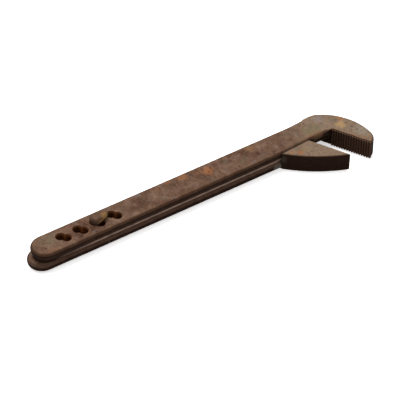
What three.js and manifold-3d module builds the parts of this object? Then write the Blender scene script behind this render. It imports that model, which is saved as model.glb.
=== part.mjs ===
// Adjustable wrench of the stacked, two-lever kind, in millimetres.
// +X runs along the handle towards the jaws, +Y to the hook's back, +Z up, and the underside lies on Z = 0.
// The origin is the pivot: the axis of the headed stud, at the underside.
//
// The hook lever lies on the jaw lever.  The stud is riveted in the jaw lever and stands up through one of four
// keyholes in the hook lever, each two drilled holes run together on a slant.  Its thick head points along the
// handle, across that slant, and holds the levers together.
import * as THREE from "three";
import { mergeVertices } from "three/addons/utils/BufferGeometryUtils.js";
import Module from "manifold-3d";

const wasm = await Module();
wasm.setup();

// Handles
const HANDLE_WIDTH = 24.6;
const HOOK_LEVER_TAIL = 57.2; // from the pivot back to the hook lever's round end
const JAW_LEVER_TAIL = 60.8; // from the pivot back to the jaw lever's round end
const HANDLE_EDGE_ROUND = 3.1;

// Thickness, from the underside up
const JAW_LEVER_THICKNESS = 7.2;
const LEVER_GAP = 0.3; // between the two levers' mating faces
const LAND_HEIGHT = 3.8; // the hook lever's mating land
const LAND_INSET = 1.3; // how far the land stands in from the handle's edge
const BEAD_HEIGHT = 6.2; // the hook lever's round-edged handle above the land

// Keyholes and stud
const KEYHOLE_COUNT = 4;
const KEYHOLES_BEHIND_STUD = 2; // empty keyholes between the stud and the tail
const KEYHOLE_PITCH = 15.3;
const KEYHOLE_SLANT = 46; // degrees, from the handle's line to the line of a keyhole's two holes
const KEYHOLE_SPREAD = 5.2; // between the centres of a keyhole's two holes
const SECOND_HOLE_RADIUS = 3.7;
const STUD_OFF_CENTRE = 1.5; // from the handle's centre line to the stud, towards the hook's back
const NECK_RADIUS = 3.65;
const NECK_CLEARANCE = 0.1; // round the neck in its hole
const HEAD_LIP = 1.25; // how much wider the head's root is than the neck, in radius
const HEAD_ROOT_AHEAD = 0.8; // from the stud's axis to the root's centre, towards the jaws
const HEAD_ROOT_ASIDE = 0.9; // and towards the near edge
const HEAD_NOSE_RADIUS = 3.3;
const HEAD_NOSE_REACH = 12.3; // from the stud's axis to the nose's end
const HEAD_HEIGHT = 6.4;
const HEAD_EDGE_ROUND = 2.4;
const HEAD_LIFT = 0.3; // running gap under the head
const STUD_SEAT_LIP = 1.75; // how far the riveted foot stands out past the neck
const STUD_SEAT_DEPTH = 2.0;
const STUD_FIT = 0.05; // between the riveted stud and the jaw lever

// Jaws: both working faces lean by JAW_SLANT from the handle's line
const JAW_SLANT = 60; // degrees
const THROAT_FROM_PIVOT = 219.7; // to the corner between the neck and the toothed face
const JAW_OPENING = 20.5; // square across the working faces, closed, in the stud's keyhole
const NECK_NEAR_HALF = 10; // from the handle's centre line to the neck's near edge
const NECK_TAPER_START = 56; // back from the throat to where the near edge starts to draw in
const NECK_TAPER_LENGTH = 34;
const TOOTHED_FACE_LENGTH = 36;
const TOOTH_COUNT = 16;
const TOOTH_DEPTH = 1.15;
const HOOK_TIP_FLAT = 2.3; // the tip's flat end, from the toothed face to its round
const HOOK_TIP_RADIUS = 12;
const HOOK_BACK_RADIUS = 47.5;
const HOOK_CREST_RADIUS = 15;
const HOOK_CREST_RISE = 1.7; // of the hook's back above the handle's edge
const HOOK_RISE_LENGTH = 28; // along which the back rises
const HOOK_EDGE_ROUND = 2.0;
const JAW_FACE_LENGTH = 26.4; // outwards from the throat corner's level
const JAW_HEEL_FROM_FRONT = 34; // from the jaw's front corner back to its heel
const JAW_NEAR_RADIUS = 125;
const JAW_EDGE_ROUND = 0.7;
const JAW_SIDE_GAP = 0.4; // between the jaw and the hook lever's near edge

const CURVE_STEPS = 8;
const EDGE_STEPS = 4;
const CUT_MARGIN = 4; // how far a cutter runs past the material

// Derived
const halfWidth = HANDLE_WIDTH / 2;
const landBottom = JAW_LEVER_THICKNESS + LEVER_GAP;
const beadBottom = landBottom + LAND_HEIGHT;
const topFace = beadBottom + BEAD_HEIGHT;
const centreLine = -STUD_OFF_CENTRE;
const seatRadius = NECK_RADIUS + STUD_SEAT_LIP;
const headRootRadius = NECK_RADIUS + HEAD_LIP;
const nearEdge = centreLine - halfWidth;
const farEdge = centreLine + halfWidth;
const slant = THREE.MathUtils.degToRad(JAW_SLANT);
const along = new THREE.Vector2(Math.cos(slant), -Math.sin(slant)); // along a working face, outwards
const forward = new THREE.Vector2(Math.sin(slant), Math.cos(slant)); // square to it, from the jaw to the hook
const throat = new THREE.Vector2(THROAT_FROM_PIVOT, centreLine - NECK_NEAR_HALF);

const MATERIALS = {
  hookLever: { color: 0x7d6355, roughness: 0.82, metalness: 0.35 },
  jawLever: { color: 0x6f5a4d, roughness: 0.85, metalness: 0.35 },
  stud: { color: 0x8a7458, roughness: 0.78, metalness: 0.4 },
};

function material(name) {
  return new THREE.MeshStandardMaterial(MATERIALS[name]);
}

// Turns a closed geometry into a solid for joining and cutting.
function solidOf(geometry) {
  const bare = geometry.clone();
  bare.deleteAttribute("normal");
  bare.deleteAttribute("uv");
  const merged = mergeVertices(bare, 1e-4);
  return new wasm.Manifold(
    new wasm.Mesh({
      numProp: 3,
      vertProperties: merged.attributes.position.array,
      triVerts: new Uint32Array(merged.index.array),
    }),
  );
}

function geometryOf(solid) {
  const mesh = solid.getMesh();
  const geometry = new THREE.BufferGeometry();
  geometry.setAttribute("position", new THREE.BufferAttribute(mesh.vertProperties, 3));
  geometry.setIndex(new THREE.BufferAttribute(mesh.triVerts, 1));
  geometry.computeVertexNormals();
  return geometry;
}

// A plate between two levels whose top and bottom rims are rounded by `round` across and `rise` up.
function plate(shape, bottom, top, round = 0, rise = round) {
  const geometry = new THREE.ExtrudeGeometry(shape, {
    depth: top - bottom - 2 * rise,
    bevelEnabled: round > 0,
    bevelSize: round,
    bevelOffset: -round,
    bevelThickness: rise,
    bevelSegments: EDGE_STEPS,
    curveSegments: CURVE_STEPS,
  });
  geometry.translate(0, 0, bottom + (round > 0 ? rise : 0));
  return solidOf(geometry);
}

function joined(solids) {
  return solids.reduce((sum, solid) => sum.add(solid));
}

function cutBy(solid, cutters) {
  return cutters.reduce((rest, cutter) => rest.subtract(cutter), solid);
}

function polygon(points) {
  return new THREE.Shape(points.map(([x, y]) => new THREE.Vector2(x, y)));
}

// The point `outwards` along a working face and `ahead` of it, from the throat corner.
function fromThroat(outwards, ahead) {
  return throat.clone().addScaledVector(along, outwards).addScaledVector(forward, ahead);
}

// The place on a working face's line, `ahead` of the toothed face, that lies at height y.
function faceAt(y, ahead) {
  const start = fromThroat(0, ahead);
  return new THREE.Vector2(start.x + (y - start.y) * (along.x / along.y), y);
}

// Outer contour of the hook, from the handle's far edge over the crest and the nose to the flat end of the tip.
// Its arcs run into each other without a corner.
function traceHookBack(shape) {
  const tipCentre = fromThroat(TOOTHED_FACE_LENGTH - HOOK_TIP_RADIUS, HOOK_TIP_FLAT);
  const backX = tipCentre.x + HOOK_TIP_RADIUS - HOOK_BACK_RADIUS;
  const crestY = farEdge + HOOK_CREST_RISE - HOOK_CREST_RADIUS;
  const reach = HOOK_BACK_RADIUS - HOOK_CREST_RADIUS;
  const crestX = backX + Math.sqrt(reach ** 2 - (crestY - tipCentre.y) ** 2);
  const meet = Math.atan2(crestY - tipCentre.y, crestX - backX);
  const riseStart = crestX - HOOK_RISE_LENGTH;
  shape.lineTo(riseStart, farEdge);
  shape.bezierCurveTo(
    riseStart + HOOK_RISE_LENGTH / 2, farEdge,
    crestX - HOOK_RISE_LENGTH / 3, farEdge + HOOK_CREST_RISE,
    crestX, farEdge + HOOK_CREST_RISE,
  );
  shape.absarc(crestX, crestY, HOOK_CREST_RADIUS, Math.PI / 2, meet, true);
  shape.absarc(backX, tipCentre.y, HOOK_BACK_RADIUS, meet, 0, true);
  shape.absarc(tipCentre.x, tipCentre.y, HOOK_TIP_RADIUS, 0, -slant, true);
}

// Round-ended bar with the neck and the hook.  It runs a little past the toothed face, which is cut later.
function hookLeverOutline() {
  const tailCentre = halfWidth - HOOK_LEVER_TAIL;
  const taperStart = throat.x - NECK_TAPER_START;
  const spareTip = fromThroat(TOOTHED_FACE_LENGTH, -CUT_MARGIN);
  const spareThroat = faceAt(throat.y, -CUT_MARGIN);
  const shape = new THREE.Shape();
  shape.absarc(tailCentre, centreLine, halfWidth, -Math.PI / 2, Math.PI / 2, true);
  traceHookBack(shape);
  shape.lineTo(spareTip.x, spareTip.y);
  shape.lineTo(spareThroat.x, spareThroat.y);
  shape.lineTo(taperStart + NECK_TAPER_LENGTH, throat.y);
  shape.lineTo(taperStart, nearEdge);
  return shape;
}

// The mating land follows the handle, a little inside its edge, and ends inside the hook.
function landOutline() {
  const tailCentre = halfWidth - HOOK_LEVER_TAIL;
  const taperStart = throat.x - NECK_TAPER_START;
  const endFar = faceAt(farEdge - LAND_INSET, CUT_MARGIN);
  const endNear = faceAt(throat.y + LAND_INSET, CUT_MARGIN);
  const shape = new THREE.Shape();
  shape.absarc(tailCentre, centreLine, halfWidth - LAND_INSET, -Math.PI / 2, Math.PI / 2, true);
  shape.lineTo(endFar.x, endFar.y);
  shape.lineTo(endNear.x, endNear.y);
  shape.lineTo(taperStart + NECK_TAPER_LENGTH, throat.y + LAND_INSET);
  shape.lineTo(taperStart, nearEdge + LAND_INSET);
  return shape;
}

// What lies behind the toothed face's line, outwards from the level y and back as far as `reach`.
function behindToothedFace(y, reach) {
  const inner = faceAt(y, 0);
  const outer = fromThroat(TOOTHED_FACE_LENGTH + CUT_MARGIN, 0);
  const outline = polygon([
    [inner.x, inner.y],
    [inner.x - reach, inner.y],
    [outer.x - reach, outer.y],
    [outer.x, outer.y],
  ]);
  return plate(outline, -CUT_MARGIN, topFace + CUT_MARGIN);
}

// V grooves across the toothed face, one between each two teeth.
function toothCutters() {
  const pitch = TOOTHED_FACE_LENGTH / TOOTH_COUNT;
  return Array.from({ length: TOOTH_COUNT }, (_, tooth) => {
    const root = fromThroat((tooth + 0.5) * pitch, TOOTH_DEPTH);
    const left = fromThroat(tooth * pitch, 0);
    const right = fromThroat((tooth + 1) * pitch, 0);
    const leftOut = left.clone().addScaledVector(forward, -TOOTH_DEPTH);
    const rightOut = right.clone().addScaledVector(forward, -TOOTH_DEPTH);
    const groove = polygon([leftOut, rightOut, right, root, left].map((p) => [p.x, p.y]));
    return plate(groove, -CUT_MARGIN, topFace + CUT_MARGIN);
  });
}

// A straight round cutter or peg, standing on `bottom`.
function drum(x, y, radius, bottom, top) {
  const geometry = new THREE.CylinderGeometry(radius, radius, top - bottom, 4 * CURVE_STEPS);
  geometry.rotateX(Math.PI / 2);
  geometry.translate(x, y, (bottom + top) / 2);
  return solidOf(geometry);
}

function keyholeCutters() {
  const angle = THREE.MathUtils.degToRad(KEYHOLE_SLANT);
  const bottom = landBottom - CUT_MARGIN;
  const top = topFace + CUT_MARGIN;
  return Array.from({ length: KEYHOLE_COUNT }, (_, hole) => {
    const x = (hole - KEYHOLES_BEHIND_STUD) * KEYHOLE_PITCH;
    const secondX = x + KEYHOLE_SPREAD * Math.cos(angle);
    const secondY = -KEYHOLE_SPREAD * Math.sin(angle);
    const first = drum(x, 0, NECK_RADIUS + NECK_CLEARANCE, bottom, top);
    return first.add(drum(secondX, secondY, SECOND_HOLE_RADIUS, bottom, top));
  });
}

function makeHookLever() {
  const handle = plate(hookLeverOutline(), beadBottom, topFace, HANDLE_EDGE_ROUND, BEAD_HEIGHT / 2);
  const land = plate(landOutline(), landBottom, beadBottom + BEAD_HEIGHT / 2);
  const fullThickness = plate(hookLeverOutline(), 0, topFace, HOOK_EDGE_ROUND);
  const pastBack = farEdge + HOOK_CREST_RISE + CUT_MARGIN;
  const hook = fullThickness.subtract(behindToothedFace(pastBack, THROAT_FROM_PIVOT + 2 * HOOK_LEVER_TAIL));
  const mouth = behindToothedFace(throat.y, 3 * CUT_MARGIN);
  return cutBy(joined([handle, land, hook]), [mouth, ...toothCutters(), ...keyholeCutters()]);
}

// Round-ended bar whose front end follows the jaw's working face under the neck.
function jawLeverOutline() {
  const frontFar = faceAt(farEdge, -JAW_OPENING);
  const frontNear = faceAt(nearEdge, -JAW_OPENING);
  const shape = new THREE.Shape();
  shape.absarc(halfWidth - JAW_LEVER_TAIL, centreLine, halfWidth, -Math.PI / 2, Math.PI / 2, true);
  shape.lineTo(frontFar.x, frontFar.y);
  shape.lineTo(frontNear.x, frontNear.y);
  return shape;
}

// The full-height jaw: inner side along the hook lever's tapering edge, straight working face, bowed near side.
function jawBlockOutline() {
  const front = fromThroat(0, -JAW_OPENING);
  const taper = (halfWidth - NECK_NEAR_HALF) / NECK_TAPER_LENGTH;
  const taperStart = throat.x - NECK_TAPER_START;
  const taperEnd = taperStart + NECK_TAPER_LENGTH;
  const innerY = (x) => {
    const passed = Math.min(Math.max(x - taperStart, 0), NECK_TAPER_LENGTH);
    return nearEdge + taper * passed - JAW_SIDE_GAP * Math.hypot(1, taper);
  };
  const heelX = front.x - JAW_HEEL_FROM_FRONT;
  const heel = new THREE.Vector2(heelX, innerY(heelX));
  let inner = front;
  for (let pass = 0; pass < 4; pass += 1) {
    inner = faceAt(innerY(inner.x), -JAW_OPENING); // closes in on where the face line crosses the inner side
  }
  const tip = fromThroat(JAW_FACE_LENGTH, -JAW_OPENING);
  const chord = tip.clone().sub(heel);
  const outward = new THREE.Vector2(chord.y, -chord.x).normalize();
  const drop = Math.sqrt(JAW_NEAR_RADIUS ** 2 - chord.lengthSq() / 4);
  const centre = heel.clone().add(tip).multiplyScalar(0.5).addScaledVector(outward, -drop);
  const heelAngle = Math.atan2(heel.y - centre.y, heel.x - centre.x);
  const tipAngle = Math.atan2(tip.y - centre.y, tip.x - centre.x);
  const shape = new THREE.Shape();
  shape.moveTo(inner.x, inner.y);
  const bends = [taperEnd, taperStart].filter((x) => x > heelX && x < inner.x);
  [...bends, heelX].forEach((x) => shape.lineTo(x, innerY(x)));
  shape.absarc(centre.x, centre.y, JAW_NEAR_RADIUS, heelAngle, tipAngle, false);
  return shape;
}

function studBore() {
  const seat = drum(0, 0, seatRadius + STUD_FIT, -CUT_MARGIN, STUD_SEAT_DEPTH);
  return seat.add(drum(0, 0, NECK_RADIUS + STUD_FIT, -CUT_MARGIN, JAW_LEVER_THICKNESS + CUT_MARGIN));
}

function makeJawLever() {
  const bar = plate(jawLeverOutline(), 0, JAW_LEVER_THICKNESS, HANDLE_EDGE_ROUND, JAW_LEVER_THICKNESS / 2);
  const jaw = plate(jawBlockOutline(), 0, topFace, JAW_EDGE_ROUND);
  return bar.add(jaw).subtract(studBore());
}

// Seen from above: a wide round root over the neck, drawn in to the round nose.
function headOutline() {
  const root = new THREE.Vector2(HEAD_ROOT_AHEAD, -HEAD_ROOT_ASIDE);
  const nose = new THREE.Vector2(HEAD_NOSE_REACH - HEAD_NOSE_RADIUS, 0);
  const axis = nose.clone().sub(root);
  const bearing = axis.angle();
  const side = Math.acos((headRootRadius - HEAD_NOSE_RADIUS) / axis.length());
  const shape = new THREE.Shape();
  shape.absarc(root.x, root.y, headRootRadius, bearing + side, bearing - side, false);
  shape.absarc(nose.x, nose.y, HEAD_NOSE_RADIUS, bearing - side, bearing + side, false);
  return shape;
}

// Riveted foot, round neck and the long head.
function makeStud() {
  const headBottom = topFace + HEAD_LIFT;
  const foot = drum(0, 0, seatRadius, 0, STUD_SEAT_DEPTH - STUD_FIT);
  const neck = drum(0, 0, NECK_RADIUS, 0, headBottom + HEAD_HEIGHT / 2);
  const head = plate(headOutline(), headBottom, headBottom + HEAD_HEIGHT, HEAD_EDGE_ROUND);
  return joined([foot, neck, head]);
}

function meshOf(name, solid, look) {
  const mesh = new THREE.Mesh(geometryOf(solid), material(look));
  mesh.name = name;
  return mesh;
}

const jawSide = new THREE.Group();
jawSide.add(meshOf("jaw_lever", makeJawLever(), "jawLever"));
jawSide.add(meshOf("stud", makeStud(), "stud"));

const hookSide = new THREE.Group();
hookSide.add(meshOf("hook_lever", makeHookLever(), "hookLever"));

const wrench = new THREE.Group();
wrench.add(jawSide, hookSide);

export default wrench;
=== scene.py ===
"""A rusted two-lever adjustable wrench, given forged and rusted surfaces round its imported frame.

The frame's origin is the stud's axis at the underside, +X runs along the handle to the jaws and +Z is up.
Sizes held by the classes are in millimetres; meshes and the scene are in metres.
"""

import logging
import math
from collections.abc import Sequence
from dataclasses import dataclass, field
from enum import Enum

import bmesh
import bpy
import numpy as np
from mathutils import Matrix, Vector


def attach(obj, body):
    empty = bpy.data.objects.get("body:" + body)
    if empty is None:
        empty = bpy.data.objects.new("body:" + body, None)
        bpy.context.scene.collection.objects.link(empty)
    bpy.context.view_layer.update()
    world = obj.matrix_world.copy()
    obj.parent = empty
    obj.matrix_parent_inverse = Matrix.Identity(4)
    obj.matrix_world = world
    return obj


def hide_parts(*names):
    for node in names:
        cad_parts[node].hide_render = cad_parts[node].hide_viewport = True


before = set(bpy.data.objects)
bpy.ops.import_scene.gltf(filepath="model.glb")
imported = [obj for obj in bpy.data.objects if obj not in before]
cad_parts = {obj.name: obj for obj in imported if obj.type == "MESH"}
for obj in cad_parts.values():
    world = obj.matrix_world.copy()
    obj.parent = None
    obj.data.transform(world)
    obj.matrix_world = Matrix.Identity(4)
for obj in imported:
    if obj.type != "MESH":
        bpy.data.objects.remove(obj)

MM = 0.001
LOG = logging.getLogger("wrench")
Colour = tuple[float, float, float]
Socket = bpy.types.NodeSocket


class Body(Enum):
    """The rigid bodies that pieces ride on."""

    JAW_SIDE = "jaw_side"
    HOOK_SIDE = "hook_side"


class Forging(Enum):
    """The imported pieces, each also the name of its material slot."""

    HOOK_LEVER = "hook_lever"
    JAW_LEVER = "jaw_lever"
    STUD = "stud"


class Mask(Enum):
    """Surface masks that the forgings carry for their rust and their painted shade."""

    CROWN = "crown"
    EDGE = "edge"
    HOLLOW = "hollow"
    BORE = "bore"
    LAND = "land"


class Graph:
    """Adds nodes to one node tree and joins them up."""

    def __init__(self, tree: bpy.types.NodeTree) -> None:
        """Keeps the tree that nodes are added to.

        Args:
            tree: The shader or geometry tree.
        """
        self.tree = tree

    def add(self, kind: str, inputs: dict | None = None, **settings) -> bpy.types.Node:
        """Adds one node.

        Args:
            kind: The node's type name.
            inputs: Values or sockets for its inputs, by name or number.
            **settings: Its properties.

        Returns:
            The new node.
        """
        node = self.tree.nodes.new(kind)
        for name, value in settings.items():
            setattr(node, name, value)
        for key, value in (inputs or {}).items():
            self.feed(node.inputs[key], value)
        return node

    def feed(self, socket: Socket, value: object) -> None:
        """Links a socket to an input, or sets the input's own value.

        Args:
            socket: The input.
            value: An output socket, a number, a vector or a colour.
        """
        if isinstance(value, Socket):
            self.tree.links.new(value, socket)
        else:
            socket.default_value = value

    def math(self, operation: str, first: object, second: object = 0.0) -> Socket:
        """Adds a sum, product or other operation on one or two numbers.

        Args:
            operation: The operation's name.
            first: The first number or socket.
            second: The second number or socket.

        Returns:
            The result's socket.
        """
        return self.add("ShaderNodeMath", {0: first, 1: second}, operation=operation).outputs[0]

    def span(
        self, value: object, low: float, high: float, to_low: float = 0.0, to_high: float = 1.0
    ) -> Socket:
        """Eases a number from one span to another, and holds it at the ends.

        Args:
            value: The number or socket.
            low: Where the span starts.
            high: Where the span ends.
            to_low: What the start becomes.
            to_high: What the end becomes.

        Returns:
            The result's socket.
        """
        numbers = {0: value, 1: low, 2: high, 3: to_low, 4: to_high}
        return self.add("ShaderNodeMapRange", numbers, interpolation_type="SMOOTHSTEP").outputs[0]

    def noise(self, place: object, grain: float, detail: float, roughness: float, seed: float) -> Socket:
        """Adds cloudy noise.

        Args:
            place: The coordinates' socket, in metres.
            grain: The size of its blotches, in millimetres.
            detail: How many finer layers it has.
            roughness: How strong the finer layers are.
            seed: Which of its patterns is taken.

        Returns:
            The noise value's socket.
        """
        numbers = {"Vector": place, "W": seed, "Scale": 1 / (grain * MM)}
        numbers |= {"Detail": detail, "Roughness": roughness}
        return self.add("ShaderNodeTexNoise", numbers, noise_dimensions="4D").outputs[0]

    def cells(self, place: object, grain: float, seed: float) -> Socket:
        """Adds the distance to the nearest of scattered points, for round pits.

        Args:
            place: The coordinates' socket, in metres.
            grain: The spacing of the points, in millimetres.
            seed: Which of its patterns is taken.

        Returns:
            The distance's socket, 0 at each point.
        """
        numbers = {"Vector": place, "W": seed, "Scale": 1 / (grain * MM)}
        return self.add("ShaderNodeTexVoronoi", numbers, voronoi_dimensions="4D").outputs["Distance"]

    def blend(self, amount: object, under: object, over: object, mode: str = "MIX") -> Socket:
        """Lays one colour over another.

        Args:
            amount: How much of the upper colour shows.
            under: The lower colour or its socket.
            over: The upper colour or its socket.
            mode: How they blend.

        Returns:
            The result's socket.
        """
        node = self.add("ShaderNodeMix", data_type="RGBA", blend_type=mode)
        self.feed(node.inputs[0], amount)
        self.feed(node.inputs[6], self.colour(under))
        self.feed(node.inputs[7], self.colour(over))
        return node.outputs[2]

    def ramp(self, amount: object, stops: Sequence[tuple[float, Colour]]) -> Socket:
        """Turns a number into a colour.

        Args:
            amount: The number's socket.
            stops: The places of the colours, from 0 to 1, and the colours.

        Returns:
            The colour's socket.
        """
        node = self.add("ShaderNodeValToRGB", {0: amount})
        elements = node.color_ramp.elements
        while len(elements) < len(stops):
            elements.new(0.5)
        for element, (place, colour) in zip(elements, stops):
            element.position = place
            element.color = self.colour(colour)
        return node.outputs[0]

    @staticmethod
    def colour(value: object) -> object:
        """Gives a plain colour its alpha, and passes sockets on."""
        return (*value, 1.0) if isinstance(value, tuple) and len(value) == 3 else value


@dataclass(frozen=True)
class Patch:
    """A blotch of another rust, or of painted light, at one place on a forging."""

    centre: tuple[float, float, float]
    radius: float
    colour: Colour
    strength: float
    on_sides: bool = False


@dataclass(frozen=True)
class RustAndShadeFinish:
    """Heavy dry rust on forged steel: blotches, loose orange and ochre rust, grain and pits, with painted
    shade on the sides and in the hollows.
    """

    name: str
    seed: float
    deep: Colour = (0.030, 0.016, 0.010)
    brown: Colour = (0.078, 0.039, 0.024)
    tan: Colour = (0.121, 0.068, 0.046)
    pale: Colour = (0.180, 0.124, 0.088)
    orange: Colour = (0.215, 0.080, 0.028)
    ochre: Colour = (0.220, 0.142, 0.064)
    olive: Colour = (0.088, 0.076, 0.050)
    slate: Colour = (0.135, 0.118, 0.112)
    dust: Colour = (0.200, 0.146, 0.100)
    # The next two colours are painted shade: near black on the sides and in the hollows, dark brown on the
    # rounded flanks.
    dark_shade: Colour = (0.0080, 0.0028, 0.0011)
    flank_shade: Colour = (0.035, 0.016, 0.009)
    land: Colour = (0.150, 0.100, 0.078)
    bore: Colour = (0.215, 0.076, 0.026)
    edge: Colour = (0.150, 0.078, 0.042)
    dust_from: float = 1000.0
    dust_to: float = 1100.0
    dust_share: float = 0.75
    dust_stray: float = 60.0
    # Shares and start of the painted shade on the flanks and sides.
    flank_shade_share: float = 0.85
    flank_shade_from: float = 0.84
    side_shade_share: float = 0.97
    patches: tuple[Patch, ...] = ()

    def material(self) -> bpy.types.Material:
        """Builds the finish.

        Returns:
            The material.
        """
        made = bpy.data.materials.new(self.name)
        made.use_nodes = True
        graph = Graph(made.node_tree)
        graph.tree.nodes.clear()
        place = graph.add("ShaderNodeTexCoord").outputs["Object"]
        surface = graph.add("ShaderNodeBsdfPrincipled", {"Metallic": 0.0, "Specular IOR Level": 0.03})
        graph.feed(surface.inputs["Base Color"], self.colour(graph, place))
        graph.feed(surface.inputs["Roughness"], self.roughness(graph, place))
        graph.feed(surface.inputs["Normal"], self.relief(graph, place))
        output = graph.add("ShaderNodeOutputMaterial")
        graph.feed(output.inputs["Surface"], surface.outputs[0])
        return made

    def mask(self, graph: Graph, mask: Mask) -> Socket:
        """Reads one of the forging's masks.

        Args:
            graph: The material's graph.
            mask: Which mask.

        Returns:
            The mask's socket.
        """
        return graph.add("ShaderNodeAttribute", attribute_name=mask.value).outputs["Fac"]

    def colour(self, graph: Graph, place: Socket) -> Socket:
        """Builds the colour, from the broad blotches to the painted shade on the sides and in the hollows.

        Args:
            graph: The material's graph.
            place: The coordinates' socket.

        Returns:
            The colour's socket.
        """
        broad = graph.noise(place, 26, 4, 0.6, self.seed)
        blotch = graph.noise(place, 6.5, 6, 0.68, self.seed + 3)
        grain = graph.noise(place, 1.3, 4, 0.7, self.seed + 7)
        mixed = graph.math("ADD", graph.math("MULTIPLY", broad, 0.42), graph.math("MULTIPLY", blotch, 0.58))
        stops = ((0.34, self.deep), (0.43, self.brown), (0.53, self.tan), (0.68, self.pale))
        tone = graph.ramp(mixed, stops)
        tone = self.dusted(graph, place, tone)
        tone = self.loose_rust(graph, place, tone)
        tone = self.patched(graph, place, tone, False)
        speckle = graph.ramp(grain, ((0.30, (0.52,) * 3), (0.5, (1.0,) * 3), (0.70, (1.0,) * 3)))
        tone = graph.blend(1.0, tone, speckle, "MULTIPLY")
        tone = graph.blend(graph.span(grain, 0.56, 0.70, 0.0, 0.45), tone, self.pale)
        edge = graph.math("MULTIPLY", self.mask(graph, Mask.EDGE), graph.span(blotch, 0.35, 0.65, 0.1, 0.5))
        tone = graph.blend(edge, tone, self.edge)
        tone = self.shaded_and_tinted(graph, tone, blotch)
        # Patches laid over the painted shade, among them painted highlights.
        return self.patched(graph, place, tone, True)

    def dusted(self, graph: Graph, place: Socket, tone: Socket) -> Socket:
        """Lays paler dry dust over the part towards the jaws.

        Args:
            graph: The material's graph.
            place: The coordinates' socket.
            tone: The colour under it.

        Returns:
            The colour's socket.
        """
        along = graph.add("ShaderNodeSeparateXYZ", {0: place}).outputs["X"]
        wander = graph.noise(place, 18, 3, 0.6, self.seed + 11)
        stray = graph.math("MULTIPLY", graph.math("SUBTRACT", wander, 0.5), self.dust_stray * MM)
        shifted = graph.math("ADD", along, stray)
        share = graph.span(shifted, self.dust_from * MM, self.dust_to * MM, 0.0, self.dust_share)
        thin = graph.span(graph.noise(place, 5, 5, 0.7, self.seed + 13), 0.3, 0.6, 0.55, 1.0)
        patchy = graph.math("MULTIPLY", share, thin)
        return graph.blend(patchy, tone, self.dust)

    def loose_rust(self, graph: Graph, place: Socket, tone: Socket) -> Socket:
        """Scatters spots of loose orange and ochre rust.

        Args:
            graph: The material's graph.
            place: The coordinates' socket.
            tone: The colour under them.

        Returns:
            The colour's socket.
        """
        orange = graph.span(graph.noise(place, 7.5, 5, 0.62, self.seed + 17), 0.61, 0.74, 0.0, 0.62)
        ochre = graph.span(graph.noise(place, 9.0, 5, 0.6, self.seed + 19), 0.62, 0.76, 0.0, 0.5)
        scale = graph.span(graph.noise(place, 3.2, 5, 0.65, self.seed + 23), 0.60, 0.72, 0.0, 0.55)
        olive = graph.span(graph.noise(place, 10.0, 5, 0.66, self.seed + 47), 0.52, 0.68, 0.0, 0.5)
        slate = graph.span(graph.noise(place, 6.0, 6, 0.7, self.seed + 53), 0.54, 0.68, 0.0, 0.55)
        tone = graph.blend(olive, tone, self.olive)
        tone = graph.blend(slate, tone, self.slate)
        tone = graph.blend(scale, tone, self.deep)
        tone = graph.blend(ochre, tone, self.ochre)
        return graph.blend(orange, tone, self.orange)

    def patched(
        self, graph: Graph, place: Socket, tone: Socket, on_sides: bool
    ) -> Socket:
        """Lays each named patch over the rust, with a ragged edge; some patches are painted light.

        Args:
            graph: The material's graph.
            place: The coordinates' socket.
            tone: The colour under them.
            on_sides: Whether to lay those that lie over the painted shade, or those under it.

        Returns:
            The colour's socket.
        """
        ragged = graph.noise(place, 3.5, 4, 0.65, self.seed + 29)
        for patch in (each for each in self.patches if each.on_sides == on_sides):
            centre = tuple(value * MM for value in patch.centre)
            reach = graph.add("ShaderNodeVectorMath", {0: place, 1: centre}, operation="DISTANCE")
            stray = graph.math("MULTIPLY", graph.math("SUBTRACT", ragged, 0.5), patch.radius * 2.2 * MM)
            away = graph.math("ADD", reach.outputs["Value"], stray)
            share = graph.span(away, patch.radius * 1.25 * MM, patch.radius * 0.45 * MM, 0.0, patch.strength)
            tone = graph.blend(share, tone, patch.colour)
        return tone

    def shaded_and_tinted(self, graph: Graph, tone: Socket, blotch: Socket) -> Socket:
        """Paints shade on the sides and in the hollows, lightens the land, and reddens the keyholes.

        Args:
            graph: The material's graph.
            tone: The colour under it.
            blotch: The mid-sized noise, which breaks up the borders.

        Returns:
            The colour's socket.
        """
        # Painted shade: faces darken to dark brown as they tilt from level, then to near black on the sides.
        uneven = graph.math("MULTIPLY", graph.math("SUBTRACT", blotch, 0.5), 0.5)
        crown = graph.math("ADD", self.mask(graph, Mask.CROWN), uneven)
        level = graph.math("ADD", self.mask(graph, Mask.CROWN), graph.math("MULTIPLY", uneven, 0.3))
        shade = graph.span(level, 1.0, self.flank_shade_from, 0.0, self.flank_shade_share)
        tone = graph.blend(shade, tone, self.flank_shade)
        side = graph.span(crown, 0.72, 0.12, 0.0, self.side_shade_share)
        tone = graph.blend(side, tone, self.dark_shade)
        land = graph.math("MULTIPLY", self.mask(graph, Mask.LAND), graph.span(blotch, 0.3, 0.6, 0.55, 1.0))
        tone = graph.blend(land, tone, self.land)
        bore = graph.math("MULTIPLY", self.mask(graph, Mask.BORE), graph.span(blotch, 0.3, 0.62, 1.0, 0.75))
        tone = graph.blend(bore, tone, self.bore)
        # Painted shade in the hollows: concave places go near black.
        return graph.blend(graph.math("MULTIPLY", self.mask(graph, Mask.HOLLOW), 0.95), tone, self.dark_shade)

    def roughness(self, graph: Graph, place: Socket) -> Socket:
        """Builds the gloss: dry all over, with a slight sheen where hands have rubbed.

        Args:
            graph: The material's graph.
            place: The coordinates' socket.

        Returns:
            The roughness's socket.
        """
        worn = graph.noise(place, 4.0, 5, 0.65, self.seed + 31)
        dry = graph.span(worn, 0.32, 0.62, 0.62, 0.92)
        return graph.math("SUBTRACT", dry, graph.math("MULTIPLY", self.mask(graph, Mask.EDGE), 0.12))

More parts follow.
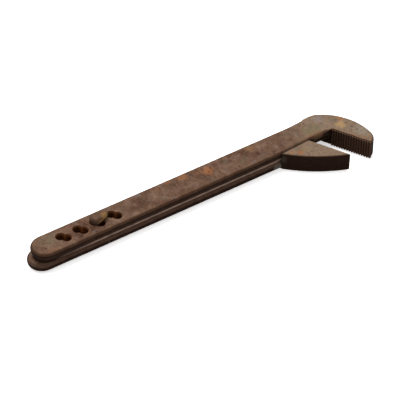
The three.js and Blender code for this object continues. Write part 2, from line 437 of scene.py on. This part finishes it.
    def relief(self, graph: Graph, place: Socket) -> Socket:
        """Builds the fine relief: scale, pits and grain.

        Args:
            graph: The material's graph.
            place: The coordinates' socket.

        Returns:
            The normal's socket.
        """
        scale = graph.noise(place, 2.4, 6, 0.7, self.seed + 37)
        pits = graph.span(graph.cells(place, 1.7, self.seed + 41), 0.10, 0.46)
        grain = graph.noise(place, 0.55, 3, 0.75, self.seed + 43)
        height = graph.math("ADD", graph.math("MULTIPLY", scale, 0.9), graph.math("MULTIPLY", pits, 0.22))
        height = graph.math("ADD", height, graph.math("MULTIPLY", grain, 0.25))
        bump = graph.add("ShaderNodeBump", {"Strength": 0.85, "Distance": 0.45 * MM, "Height": height})
        return bump.outputs[0]


@dataclass
class ForgedSkin:
    """Turns a packed forging into a worn one: softened edges, uneven faces and shallow pits."""

    voxel: float = 0.5
    soften: int = 5
    pit_depth: float = 0.16
    pit_size: float = 3.4
    wave_depth: float = 0.16
    wave_size: float = 15.0
    seed: int = 1

    def piece(self, source: Forging, name: str, material: bpy.types.Material) -> bpy.types.Object:
        """Makes the worn piece.

        Args:
            source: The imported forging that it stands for.
            name: The piece's name.
            material: Its finish.

        Returns:
            The piece, a plain mesh at the origin.
        """
        shaped = self.rounded(source)
        worked = bpy.data.objects.new(name + "_work", shaped)
        bpy.context.scene.collection.objects.link(worked)
        modifier = worked.modifiers.new("wear", "NODES")
        modifier.node_group = self.wear_tree()
        values = {
            "Pit Depth": self.pit_depth * MM,
            "Pit Size": self.pit_size * MM,
            "Wave Depth": self.wave_depth * MM,
            "Wave Size": self.wave_size * MM,
            "Seed": float(self.seed),
            "Finish": material,
        }
        set_inputs(modifier, values)
        return baked(worked, name)

    def rounded(self, source: Forging) -> bpy.types.Mesh:
        """Remeshes a merged copy of the forging finely and softens its edges.

        Args:
            source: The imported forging.

        Returns:
            The new mesh.
        """
        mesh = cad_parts[source.value].data.copy()
        weld(mesh, 0.5e-6)
        worked = bpy.data.objects.new("rounded_work", mesh)
        bpy.context.scene.collection.objects.link(worked)
        remesh = worked.modifiers.new("remesh", "REMESH")
        remesh.mode = "VOXEL"
        remesh.voxel_size = self.voxel * MM
        remesh.use_smooth_shade = True
        smooth = worked.modifiers.new("soften", "SMOOTH")
        smooth.factor = 0.5
        smooth.iterations = self.soften
        plain = baked(worked, "rounded_" + source.value)
        made = plain.data
        made.materials.clear()
        bpy.data.objects.remove(plain)
        return made

    def wear_tree(self) -> bpy.types.GeometryNodeTree:
        """Builds the tree that lowers the skin into pits and slow waves, and gives it its finish.

        Returns:
            The tree.
        """
        tree = new_tree(
            "forged_wear",
            (
                ("Pit Depth", "NodeSocketFloat"),
                ("Pit Size", "NodeSocketFloat"),
                ("Wave Depth", "NodeSocketFloat"),
                ("Wave Size", "NodeSocketFloat"),
                ("Seed", "NodeSocketFloat"),
                ("Finish", "NodeSocketMaterial"),
            ),
        )
        graph = Graph(tree)
        inputs = graph.add("NodeGroupInput").outputs
        place = graph.add("GeometryNodeInputPosition").outputs[0]
        normal = graph.add("GeometryNodeInputNormal").outputs[0]
        cells = graph.add(
            "ShaderNodeTexVoronoi",
            {"Vector": place, "W": inputs["Seed"], "Scale": graph.math("DIVIDE", 1.0, inputs["Pit Size"])},
            voronoi_dimensions="4D",
        ).outputs["Distance"]
        field_noise = graph.add(
            "ShaderNodeTexNoise",
            {
                "Vector": place,
                "W": inputs["Seed"],
                "Scale": graph.math("DIVIDE", 0.35, inputs["Pit Size"]),
                "Detail": 3.0,
                "Roughness": 0.6,
            },
            noise_dimensions="4D",
        ).outputs[0]
        waves = graph.add(
            "ShaderNodeTexNoise",
            {
                "Vector": place,
                "W": inputs["Seed"],
                "Scale": graph.math("DIVIDE", 1.0, inputs["Wave Size"]),
                "Detail": 2.0,
                "Roughness": 0.5,
            },
            noise_dimensions="4D",
        ).outputs[0]
        pits = graph.math("MULTIPLY", graph.span(cells, 0.52, 0.08), graph.span(field_noise, 0.46, 0.62))
        pit_drop = graph.math("MULTIPLY", pits, inputs["Pit Depth"])
        wave_drop = graph.math("MULTIPLY", waves, inputs["Wave Depth"])
        drop = graph.math("MULTIPLY", graph.math("ADD", pit_drop, wave_drop), -1.0)
        offset = graph.add("ShaderNodeVectorMath", {0: normal, "Scale": drop}, operation="SCALE").outputs[0]
        moved = graph.add("GeometryNodeSetPosition", {"Geometry": inputs["Geometry"], "Offset": offset})
        realized = graph.add("GeometryNodeRealizeInstances", {0: moved.outputs[0]})
        dressed = graph.add(
            "GeometryNodeSetMaterial", {"Geometry": realized.outputs[0], "Material": inputs["Finish"]}
        )
        graph.add("NodeGroupOutput", {0: dressed.outputs[0]})
        return tree


@dataclass
class SurfaceMasks:
    """Measures a mesh for the masks that its rust and its painted shade follow."""

    reach: int = 14
    edge_height: float = 0.16

    def write(self, piece: bpy.types.Object) -> tuple[np.ndarray, np.ndarray]:
        """Writes the crown, edge and hollow masks, and empty bore and land masks.

        Args:
            piece: The piece.

        Returns:
            The places and normals of its vertices, in metres.
        """
        mesh = piece.data
        count = len(mesh.vertices)
        places = np.empty(count * 3)
        normals = np.empty(count * 3)
        ends = np.empty(len(mesh.edges) * 2, dtype=np.int64)
        mesh.vertices.foreach_get("co", places)
        mesh.vertices.foreach_get("normal", normals)
        mesh.edges.foreach_get("vertices", ends)
        places = places.reshape(-1, 3)
        normals = normals.reshape(-1, 3)
        first, second = ends.reshape(-1, 2).T
        spread = np.bincount(np.concatenate((first, second)), minlength=count)[:, None]
        average = places.copy()
        for _ in range(self.reach):
            around = np.stack(
                [
                    np.bincount(first, average[second, axis], count)
                    + np.bincount(second, average[first, axis], count)
                    for axis in range(3)
                ],
                axis=1,
            )
            average = 0.4 * average + 0.6 * around / np.maximum(spread, 1)
        stand = np.einsum("ij,ij->i", normals, places - average) / (self.edge_height * MM)
        # The crown and hollow masks steer the painted shade on the sides and in the hollows.
        store_mask(mesh, Mask.CROWN, np.maximum(normals[:, 2], -0.95 * normals[:, 2]))
        store_mask(mesh, Mask.EDGE, np.clip(stand, 0, 1))
        store_mask(mesh, Mask.HOLLOW, np.clip(-stand, 0, 1))
        store_mask(mesh, Mask.BORE, np.zeros(count))
        store_mask(mesh, Mask.LAND, np.zeros(count))
        return places, normals


@dataclass
class KeyholeRow:
    """The row of slanted keyholes in the hook lever: where each one's two lobes are."""

    count: int = 4
    behind_stud: int = 2
    pitch: float = 15.3
    slant: float = 46.0
    spread: float = 5.2
    lobe_radius: float = 3.75

    def nearness(self, places: np.ndarray) -> np.ndarray:
        """Measures how far each place stands from the nearest keyhole's wall, in plan.

        Args:
            places: Points in metres.

        Returns:
            Distances in millimetres, below zero inside a keyhole.
        """
        angle = math.radians(self.slant)
        lean = np.array((math.cos(angle), -math.sin(angle))) * self.spread
        plan = places[:, :2] / MM
        nearest = np.full(len(places), 1e3)
        for hole in range(self.count):
            start = np.array(((hole - self.behind_stud) * self.pitch, 0.0))
            for centre in (start, start + lean):
                away = np.linalg.norm(plan - centre, axis=1)
                nearest = np.minimum(nearest, away - self.lobe_radius)
        return nearest


@dataclass
class ToothRow:
    """The worn teeth of the hook, each a blunt ridge across the toothed face."""

    count: int = 16
    face_length: float = 36.0
    depth: float = 1.15
    root_sink: float = 0.7
    crest_flat: float = 0.34
    height: float = 17.5
    end_gap: float = 0.35
    throat: tuple[float, float] = (219.7, -11.5)
    slant: float = 60.0
    wear: float = 0.16
    roughness: float = 0.10
    seed: int = 11

    def piece(self, material: bpy.types.Material) -> bpy.types.Object:
        """Makes the row of teeth.

        Args:
            material: Their finish.

        Returns:
            The piece, a plain mesh at the origin.
        """
        mesh = bpy.data.meshes.new("hook_teeth_work")
        worked = bpy.data.objects.new("hook_teeth_work", mesh)
        bpy.context.scene.collection.objects.link(worked)
        modifier = worked.modifiers.new("teeth", "NODES")
        modifier.node_group = self.tree()
        pitch = self.face_length / self.count
        angle = math.radians(self.slant)
        along = Vector((math.cos(angle), -math.sin(angle), 0.0))
        start = Vector((*self.throat, self.height / 2)) + along * pitch / 2
        values = {
            "Count": self.count,
            "First": start * MM,
            "Step": along * pitch * MM,
            "Turn": math.pi / 2 - angle,
            "Pitch": pitch * MM,
            "Depth": self.depth * MM,
            "Sink": self.root_sink * MM,
            "Height": (self.height - 2 * self.end_gap) * MM,
            "Crest": self.crest_flat / pitch,
            "Wear": self.wear,
            "Roughness": self.roughness * MM,
            "Seed": self.seed,
            "Finish": material,
        }
        set_inputs(modifier, values)
        return baked(worked, "hook_teeth")

    def depths(self, places: np.ndarray) -> np.ndarray:
        """Measures how deep in the grooves each place lies.

        Args:
            places: Points in metres.

        Returns:
            Shares, 0 at the crests' line and 1 in the grooves.
        """
        angle = math.radians(self.slant)
        forward = np.array((math.sin(angle), math.cos(angle)))
        ahead = (places[:, :2] / MM - np.array(self.throat)) @ forward
        return np.clip(ahead / (0.6 * self.depth), 0, 1)

    def tree(self) -> bpy.types.GeometryNodeTree:
        """Builds the tree that repeats one tooth along the face, wears each one and roughens them all.

        Returns:
            The tree.
        """
        tree = new_tree(
            "tooth_row",
            (
                ("Count", "NodeSocketInt"),
                ("First", "NodeSocketVector"),
                ("Step", "NodeSocketVector"),
                ("Turn", "NodeSocketFloat"),
                ("Pitch", "NodeSocketFloat"),
                ("Depth", "NodeSocketFloat"),
                ("Sink", "NodeSocketFloat"),
                ("Height", "NodeSocketFloat"),
                ("Crest", "NodeSocketFloat"),
                ("Wear", "NodeSocketFloat"),
                ("Roughness", "NodeSocketFloat"),
                ("Seed", "NodeSocketInt"),
                ("Finish", "NodeSocketMaterial"),
            ),
        )
        graph = Graph(tree)
        inputs = graph.add("NodeGroupInput").outputs
        line = graph.add(
            "GeometryNodeMeshLine",
            {"Count": inputs["Count"], "Start Location": inputs["First"], "Offset": inputs["Step"]},
            mode="OFFSET",
        )
        tooth = self.one_tooth(graph, inputs)
        turn = graph.add("ShaderNodeCombineXYZ", {2: inputs["Turn"]}).outputs[0]
        shortest = graph.math("SUBTRACT", 1.0, inputs["Wear"])
        worn = graph.add(
            "FunctionNodeRandomValue", {2: shortest, 3: 1.0, "Seed": inputs["Seed"]}, data_type="FLOAT"
        )
        scale = graph.add("ShaderNodeCombineXYZ", {0: worn.outputs[1], 1: 1.0, 2: 1.0}).outputs[0]
        row = graph.add(
            "GeometryNodeInstanceOnPoints",
            {"Points": line.outputs[0], "Instance": tooth, "Rotation": turn, "Scale": scale},
        )
        realized = graph.add("GeometryNodeRealizeInstances", {0: row.outputs[0]})
        place = graph.add("GeometryNodeInputPosition").outputs[0]
        rough = graph.add(
            "ShaderNodeTexNoise",
            {"Vector": place, "W": 5.0, "Scale": 1 / (2.2 * MM), "Detail": 2.0},
            noise_dimensions="4D",
        ).outputs["Color"]
        centred = graph.add("ShaderNodeVectorMath", {0: rough, 1: (0.5,) * 3}, operation="SUBTRACT").outputs[0]
        shift_size = {0: centred, "Scale": inputs["Roughness"]}
        shift = graph.add("ShaderNodeVectorMath", shift_size, operation="SCALE").outputs[0]
        jagged = graph.add("GeometryNodeSetPosition", {"Geometry": realized.outputs[0], "Offset": shift})
        dressed = graph.add(
            "GeometryNodeSetMaterial", {"Geometry": jagged.outputs[0], "Material": inputs["Finish"]}
        )
        graph.add("NodeGroupOutput", {0: dressed.outputs[0]})
        return tree

    @staticmethod
    def one_tooth(graph: Graph, inputs: bpy.types.NodeOutputs) -> Socket:
        """Adds one tooth: a bar narrowed towards its crest, which points along -X.

        Args:
            graph: The tree's graph.
            inputs: The tree's inputs.

        Returns:
            The tooth's geometry socket.
        """
        deep = graph.math("ADD", inputs["Depth"], inputs["Sink"])
        size = graph.add("ShaderNodeCombineXYZ", {0: deep, 1: inputs["Pitch"], 2: inputs["Height"]})
        counts = {"Vertices X": 5, "Vertices Y": 3, "Vertices Z": 26}
        bar = graph.add("GeometryNodeMeshCube", {"Size": size.outputs[0], **counts})
        place = graph.add("GeometryNodeInputPosition").outputs[0]
        parts = graph.add("ShaderNodeSeparateXYZ", {0: place}).outputs
        share = graph.math("ADD", graph.math("DIVIDE", parts[0], deep), 0.5)
        taper = {0: share, 1: 0.0, 2: 0.62, 3: inputs["Crest"], 4: 1.0}
        width = graph.add("ShaderNodeMapRange", taper).outputs[0]
        middle = graph.math("SUBTRACT", inputs["Sink"], graph.math("MULTIPLY", deep, 0.5))
        moved = graph.add(
            "ShaderNodeCombineXYZ",
            {0: graph.math("ADD", parts[0], middle), 1: graph.math("MULTIPLY", parts[1], width), 2: parts[2]},
        ).outputs[0]
        shaped = graph.add("GeometryNodeSetPosition", {"Geometry": bar.outputs["Mesh"], "Position": moved})
        return shaped.outputs[0]


@dataclass
class HookLever:
    """The upper lever: handle with its keyholes and land, neck, and toothed hook."""

    skin: ForgedSkin = field(default_factory=lambda: ForgedSkin(voxel=0.62, soften=4, seed=3))
    keyholes: KeyholeRow = field(default_factory=KeyholeRow)
    teeth: ToothRow = field(default_factory=ToothRow)
    land_bottom: float = 8.1
    land_top: float = 10.6
    land_start: float = -44.0
    land_fade: float = 40.0
    bore_top: float = 17.45
    bore_fade: float = 0.7
    land_end: float = 188.0

    def build(self) -> list[bpy.types.Object]:
        """Makes the lever and its teeth.

        Returns:
            The pieces.
        """
        finish = RustAndShadeFinish(
            "hook_lever_rust_and_shade",
            seed=2.0,
            dust_from=166,
            dust_to=214,
            patches=(
                Patch((229.6, -10.7, 17.5), 4.6, (0.34, 0.215, 0.095), 0.65),
                Patch((232.5, -4.5, 17.5), 3.2, (0.26, 0.115, 0.050), 0.55),
                Patch((106.6, 0.8, 17.5), 5.0, (0.26, 0.095, 0.036), 0.62),
                Patch((85.3, 6.2, 17.5), 5.0, (0.22, 0.098, 0.042), 0.6),
                Patch((72.0, 7.8, 17.5), 4.0, (0.20, 0.090, 0.040), 0.5),
                Patch((150.0, 5.0, 17.5), 5.0, (0.20, 0.115, 0.055), 0.45),
                Patch((-40.0, 3.0, 17.5), 8.0, (0.115, 0.090, 0.056), 0.5),
                Patch((205.0, -5.0, 17.5), 9.0, (0.130, 0.108, 0.062), 0.6),
                Patch((217.0, 5.0, 17.5), 5.0, (0.180, 0.150, 0.140), 0.55),
                Patch((241.0, -24.0, 17.5), 8.0, (0.225, 0.190, 0.150), 0.5),
                Patch((200.0, -11.0, 17.0), 4.0, (0.240, 0.105, 0.045), 0.5),
                Patch((247.0, -38.0, 12.0), 4.5, (0.080, 0.046, 0.028), 0.7, True),
                # Painted light: the neck's near edge laid lit brown over the painted shade.
                Patch((192.0, -11.8, 16.8), 6.5, (0.135, 0.082, 0.050), 0.55, True),
                Patch((178.0, -12.6, 16.6), 6.5, (0.110, 0.066, 0.042), 0.55, True),
                Patch((207.0, -11.2, 16.6), 5.5, (0.150, 0.075, 0.038), 0.55, True),
            ),
        ).material()
        lever = self.skin.piece(Forging.HOOK_LEVER, "hook_lever_forging", finish)
        places, normals = SurfaceMasks().write(lever)
        self.mask_walls(lever, places, normals)
        teeth = self.teeth.piece(self.tooth_finish().material())
        places, _ = SurfaceMasks(reach=3, edge_height=0.10).write(teeth)
        # Groove depth, which steers the painted shade in the grooves.
        store_mask(teeth.data, Mask.HOLLOW, self.teeth.depths(places))
        for piece in (lever, teeth):
            settle(piece, Body.HOOK_SIDE)
        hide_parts(Forging.HOOK_LEVER.value)
        return [lever, teeth]

    @staticmethod
    def tooth_finish() -> RustAndShadeFinish:
        """Gives the finish of the teeth, whose crests stay brown and whose grooves get near-black painted
        shade.
        """
        return RustAndShadeFinish("tooth_rust_and_shade", seed=5.0, flank_shade=(0.034, 0.016, 0.0095), side_shade_share=0.35)

    def mask_walls(self, lever: bpy.types.Object, places: np.ndarray, normals: np.ndarray) -> None:
        """Marks the keyholes' walls and the land's side.

        Args:
            lever: The lever's piece.
            places: Its vertices' places, in metres.
            normals: Their normals.
        """
        height = places[:, 2] / MM
        wall = np.clip(1.3 - 1.6 * np.abs(normals[:, 2]), 0, 1)
        near_hole = self.keyholes.nearness(places) < 0.6
        below_top = np.clip((self.bore_top - height) / self.bore_fade, 0, 1)
        store_mask(lever.data, Mask.BORE, wall * near_hole * below_top)
        along = places[:, 0] / MM
        band = (height > self.land_bottom) & (height < self.land_top) & (along < self.land_end)
        fade = np.clip((along - self.land_start) / self.land_fade, 0, 1)
        store_mask(lever.data, Mask.LAND, wall * band * fade * ~near_hole)


@dataclass
class JawLever:
    """The lower lever: handle under the hook lever, and the full-height jaw beside the neck."""

    skin: ForgedSkin = field(default_factory=lambda: ForgedSkin(seed=8))
    keyholes: KeyholeRow = field(default_factory=KeyholeRow)
    top: float = 7.2

    def build(self) -> list[bpy.types.Object]:
        """Makes the lever.

        Returns:
            The piece, in a list.
        """
        finish = RustAndShadeFinish(
            "jaw_lever_rust_and_shade",
            seed=21.0,
            dust_from=130,
            dust_to=160,
            # Paler painted shade on this lever's rounded flanks.
            flank_shade=(0.056, 0.031, 0.022),
            patches=(
                # Painted highlight down the jaw's rounded heel corner, over the painted shade.
                Patch((168.5, -14.6, 11.0), 4.2, (0.042, 0.033, 0.025), 0.4, True),
                Patch((165.0, -13.6, 4.0), 3.6, (0.110, 0.095, 0.080), 0.5, True),
                Patch((176.0, -17.6, 17.4), 2.4, (0.210, 0.105, 0.050), 0.55, True),
                Patch((182.5, -21.4, 17.4), 3.0, (0.230, 0.092, 0.038), 0.65, True),
                Patch((189.0, -21.0, 17.5), 5.0, (0.200, 0.145, 0.085), 0.4),
            ),
        ).material()
        lever = self.skin.piece(Forging.JAW_LEVER, "jaw_lever_forging", finish)
        places, _ = SurfaceMasks().write(lever)
        under_hole = np.clip(0.5 - self.keyholes.nearness(places) / 1.5, 0, 1)
        level = np.abs(places[:, 2] / MM - self.top) < 0.8
        store_mask(lever.data, Mask.BORE, under_hole * level)
        settle(lever, Body.JAW_SIDE)
        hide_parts(Forging.JAW_LEVER.value)
        return [lever]


@dataclass
class Stud:
    """The headed stud that the hook lever turns on."""

    skin: ForgedSkin = field(
        default_factory=lambda: ForgedSkin(
            voxel=0.16, soften=9, pit_depth=0.14, pit_size=2.0, wave_depth=0.25, wave_size=5.0, seed=5
        )
    )

    def build(self) -> list[bpy.types.Object]:
        """Makes the stud.

        Returns:
            The piece, in a list.
        """
        finish = RustAndShadeFinish(
            "stud_rust_and_shade",
            seed=33.0,
            # Weaker painted shade on the stud's flanks and sides.
            flank_shade_share=0.3,
            side_shade_share=0.45,
            patches=(
                Patch((2.0, -0.5, 24.0), 6.5, (0.088, 0.052, 0.032), 0.65),
                Patch((7.2, -2.9, 22.0), 3.0, (0.235, 0.132, 0.048), 0.8, True),
                Patch((4.6, -4.4, 20.4), 2.6, (0.170, 0.086, 0.032), 0.6, True),
                Patch((2.6, -5.0, 18.8), 3.0, (0.170, 0.085, 0.035), 0.6, True),
            ),
        ).material()
        stud = self.skin.piece(Forging.STUD, "stud_forging", finish)
        SurfaceMasks(reach=20, edge_height=0.10).write(stud)
        settle(stud, Body.JAW_SIDE)
        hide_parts(Forging.STUD.value)
        return [stud]


@dataclass
class Studio:
    """Pale floor, soft overhead light from behind, and even fill."""

    floor_colour: Colour = (0.90, 0.90, 0.90)
    floor_drop: float = 0.3
    floor_glow: float = 0.5
    fill: float = 0.75
    key_power: float = 30.0
    key_size: float = 1.3
    key_height: float = 1.35
    key_behind: float = 0.75

    def build(self) -> None:
        """Makes the floor, the key light and the world."""
        mesh = bpy.data.meshes.new("studio_floor")
        corners = [(-4, -4), (4, -4), (4, 4), (-4, 4)]
        mesh.from_pydata([(x, y, -self.floor_drop * MM) for x, y in corners], [], [(0, 1, 2, 3)])
        floor = bpy.data.objects.new("studio_floor", mesh)
        bpy.context.scene.collection.objects.link(floor)
        pale = bpy.data.materials.new("studio_floor")
        pale.use_nodes = True
        surface = pale.node_tree.nodes["Principled BSDF"]
        surface.inputs["Base Color"].default_value = (*self.floor_colour, 1)
        surface.inputs["Roughness"].default_value = 0.9
        surface.inputs["Specular IOR Level"].default_value = 0.1
        surface.inputs["Emission Color"].default_value = (1, 1, 1, 1)
        surface.inputs["Emission Strength"].default_value = self.floor_glow
        mesh.materials.append(pale)
        lamp = bpy.data.lights.new("soft_key", "AREA")
        lamp.shape = "SQUARE"
        lamp.size = self.key_size
        lamp.energy = self.key_power
        lamp.color = (1.0, 0.985, 0.96)
        key = bpy.data.objects.new("soft_key", lamp)
        key.location = (0.13, self.key_behind, self.key_height)
        key.rotation_euler = (Vector((0.12, 0.0, 0.0)) - key.location).to_track_quat("-Z", "Y").to_euler()
        bpy.context.scene.collection.objects.link(key)
        world = bpy.data.worlds.new("studio")
        world.use_nodes = True
        sky = world.node_tree.nodes["Background"]
        sky.inputs["Color"].default_value = (1.0, 1.0, 1.0, 1)
        sky.inputs["Strength"].default_value = self.fill
        bpy.context.scene.world = world
        bpy.context.scene.view_settings.view_transform = "Standard"


@dataclass
class ViewCamera:
    """The camera: where it aims, from how far, and how long its lens is."""

    aim: tuple[float, float, float] = (97.35, -1.86, -8.02)
    distance: float = 1720.0
    turn: float = -32.55
    elevation: float = 44.0
    lens: float = 190.87

    def build(self) -> bpy.types.Object:
        """Makes the camera and makes it the scene's.

        Returns:
            The camera.
        """
        turn = math.radians(self.turn)
        rise = math.radians(self.elevation)
        back = Vector((math.sin(turn) * math.cos(rise), -math.cos(turn) * math.cos(rise), math.sin(rise)))
        lens = bpy.data.cameras.new("view")
        lens.sensor_width = 36.0
        lens.lens = self.lens
        lens.clip_start = 0.05
        lens.clip_end = 20.0
        camera = bpy.data.objects.new("view", lens)
        camera.location = (Vector(self.aim) + back * self.distance) * MM
        camera.rotation_mode = "QUATERNION"
        camera.rotation_quaternion = back.to_track_quat("Z", "Y")
        bpy.context.scene.collection.objects.link(camera)
        bpy.context.scene.camera = camera
        return camera


def new_tree(name: str, sockets: Sequence[tuple[str, str]]) -> bpy.types.GeometryNodeTree:
    """Makes an empty geometry tree with its inputs.

    Args:
        name: The tree's name.
        sockets: Each input's name and socket type.

    Returns:
        The tree.
    """
    tree = bpy.data.node_groups.new(name, "GeometryNodeTree")
    tree.interface.new_socket("Geometry", in_out="INPUT", socket_type="NodeSocketGeometry")
    for label, kind in sockets:
        tree.interface.new_socket(label, in_out="INPUT", socket_type=kind)
    tree.interface.new_socket("Geometry", in_out="OUTPUT", socket_type="NodeSocketGeometry")
    return tree


def set_inputs(modifier: bpy.types.Modifier, values: dict[str, object]) -> None:
    """Sets a geometry modifier's inputs by their names.

    Args:
        modifier: The modifier.
        values: Each input's name and value.
    """
    items = modifier.node_group.interface.items_tree
    identifiers = {item.name: item.identifier for item in items if item.in_out == "INPUT"}
    for name, value in values.items():
        modifier[identifiers[name]] = value


def baked(worked: bpy.types.Object, name: str) -> bpy.types.Object:
    """Turns what an object's modifiers make into a plain mesh, and removes the object.

    Args:
        worked: The object with its modifiers.
        name: The new object's name.

    Returns:
        The new object.
    """
    bpy.context.view_layer.update()
    graph = bpy.context.evaluated_depsgraph_get()
    mesh = bpy.data.meshes.new_from_object(worked.evaluated_get(graph), depsgraph=graph)
    mesh.name = name
    made = bpy.data.objects.new(name, mesh)
    bpy.context.scene.collection.objects.link(made)
    spent = worked.data
    bpy.data.objects.remove(worked)
    bpy.data.meshes.remove(spent)
    return made


def weld(mesh: bpy.types.Mesh, distance: float) -> None:
    """Merges a mesh's doubles.

    Args:
        mesh: The mesh.
        distance: How near two vertices are merged, in metres.
    """
    shape = bmesh.new()
    shape.from_mesh(mesh)
    bmesh.ops.remove_doubles(shape, verts=shape.verts, dist=distance)
    shape.to_mesh(mesh)
    shape.free()


def store_mask(mesh: bpy.types.Mesh, mask: Mask, values: np.ndarray) -> None:
    """Stores one number for each vertex.

    Args:
        mesh: The mesh.
        mask: The mask that the numbers are for.
        values: The numbers.
    """
    layer = mesh.attributes.get(mask.value) or mesh.attributes.new(mask.value, "FLOAT", "POINT")
    layer.data.foreach_set("value", np.ascontiguousarray(values, dtype=np.float32))


def settle(piece: bpy.types.Object, body: Body) -> None:
    """Gives a finished piece its body.

    Args:
        piece: The piece.
        body: The body that it rides on.
    """
    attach(piece, body.value)


def report(pieces: Sequence[bpy.types.Object]) -> None:
    """Logs each piece's name and its number of faces.

    Args:
        pieces: The pieces.
    """
    for piece in pieces:
        LOG.info("%s: %d faces", piece.name, len(piece.data.polygons))


def main() -> None:
    """Builds the wrench and the studio."""
    logging.basicConfig(level=logging.INFO, format="%(name)s: %(message)s")
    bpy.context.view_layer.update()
    ViewCamera().build()
    for part in (JawLever(), HookLever(), Stud()):
        report(part.build())
    Studio().build()


if __name__ == "__main__":
    main()
